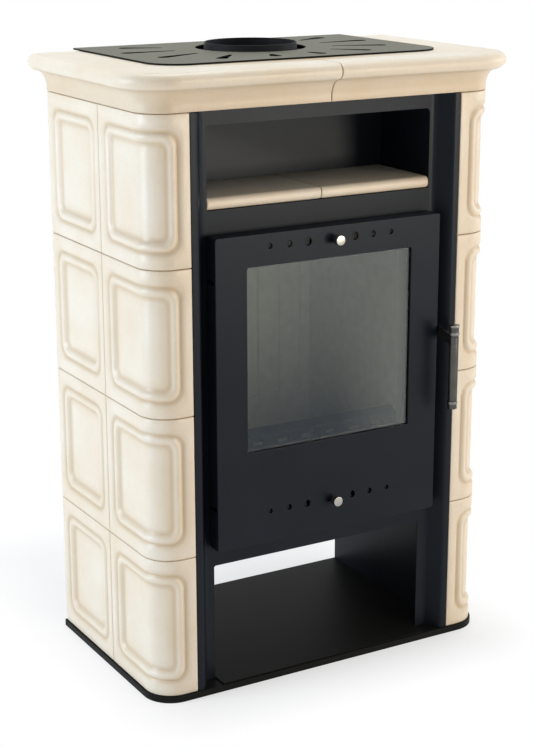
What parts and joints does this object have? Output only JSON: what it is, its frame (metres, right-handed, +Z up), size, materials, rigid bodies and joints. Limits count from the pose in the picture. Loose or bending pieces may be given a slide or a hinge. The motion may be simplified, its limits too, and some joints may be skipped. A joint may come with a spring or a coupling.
{
  "type": "tiled wood stove",
  "caption": "Free-standing wood stove clad in moulded cream tiles under a rounded cornice, with a recessed steel front, glazed door, warming niche, log bay and flue collar.",
  "frame": {"origin": "middle of the base plate's underside", "axes": "+X to the right seen from the front, -Y out of the front, +Z up"},
  "size_m": [0.6728, 0.4275, 0.981],
  "materials": {
    "glazed_tile": "glazed ceramic, cream with fine speckle",
    "painted_steel": "satin black stove paint",
    "cover_plate": "satin grey stove paint",
    "cast_iron": "matt cast",
    "bright_steel": "turned, polished",
    "dark_steel": "burnished dark",
    "zinc_steel": "galvanised",
    "fire_brick": "pressed vermiculite, matt",
    "sealing_rope": "knitted glass-fibre rope",
    "ceramic_glass": "clear, lightly smoked"
  },
  "bodies": {
    "stove_body": {"ash_pan": "zinc_steel", "baffle_plate": "fire_brick", "base_plate": "painted_steel", "bay_ceiling": "painted_steel", "bay_floor": "painted_steel", "cornice_left": "glazed_tile", "cornice_right": "glazed_tile", "firebox_body": "painted_steel", "flue_collar": "cast_iron", "front_frame": "painted_steel", "grate": "cast_iron", "hearth_brick_back": "fire_brick", "hearth_brick_front": "fire_brick", "hearth_brick_left": "fire_brick", "hearth_brick_right": "fire_brick", "hearth_plate": "cast_iron", "hinge_bracket_lower": "painted_steel", "hinge_bracket_upper": "painted_steel", "latch_keeper": "dark_steel", "lining_brick_back": "fire_brick", "lining_brick_left": "fire_brick", "lining_brick_right": "fire_brick", "log_guard": "dark_steel", "niche_box": "painted_steel", "rear_panel": "painted_steel", "shelf_tile_left": "glazed_tile", "shelf_tile_right": "glazed_tile", "side_liner_left": "painted_steel", "side_liner_right": "painted_steel", "smoke_duct": "painted_steel", "tile_left_front_1": "glazed_tile", "tile_left_front_2": "glazed_tile", "tile_left_front_3": "glazed_tile", "tile_left_front_4": "glazed_tile", "tile_left_rear_1": "glazed_tile", "tile_left_rear_2": "glazed_tile", "tile_left_rear_3": "glazed_tile", "tile_left_rear_4": "glazed_tile", "tile_right_front_1": "glazed_tile", "tile_right_front_2": "glazed_tile", "tile_right_front_3": "glazed_tile", "tile_right_front_4": "glazed_tile", "tile_right_rear_1": "glazed_tile", "tile_right_rear_2": "glazed_tile", "tile_right_rear_3": "glazed_tile", "tile_right_rear_4": "glazed_tile", "top_plate": "cover_plate"},
    "door": {"door_shell": "painted_steel", "door_glass": "ceramic_glass", "glass_retainer": "dark_steel", "door_seal": "sealing_rope", "hinge_pin_lower": "dark_steel", "hinge_pin_upper": "dark_steel"},
    "handle": {"handle_lever": "dark_steel", "handle_pin": "bright_steel", "handle_grip": "dark_steel"},
    "upper_air_control": {"air_slide_upper": "painted_steel", "air_knob_upper": "bright_steel"},
    "lower_air_control": {"air_slide_lower": "painted_steel", "air_knob_lower": "bright_steel"}
  },
  "joints": [
    {"name": "door_hinge", "type": "hinge", "parent": "stove_body", "child": "door", "pos_m": [-0.19, -0.172, 0.48], "axis": [0, 0, -1], "range_deg": [0, 100]},
    {"name": "handle_pivot", "type": "hinge", "parent": "door", "child": "handle", "pos_m": [0.204, -0.1715, 0.537], "axis": [-1, 0, 0], "range_deg": [-14, 30]},
    {"name": "upper_air_slide", "type": "slide", "parent": "door", "child": "upper_air_control", "axis": [1, 0, 0], "range_m": [-0.007, 0.006]},
    {"name": "lower_air_slide", "type": "slide", "parent": "door", "child": "lower_air_control", "axis": [1, 0, 0], "range_m": [-0.007, 0.006]}
  ]
}
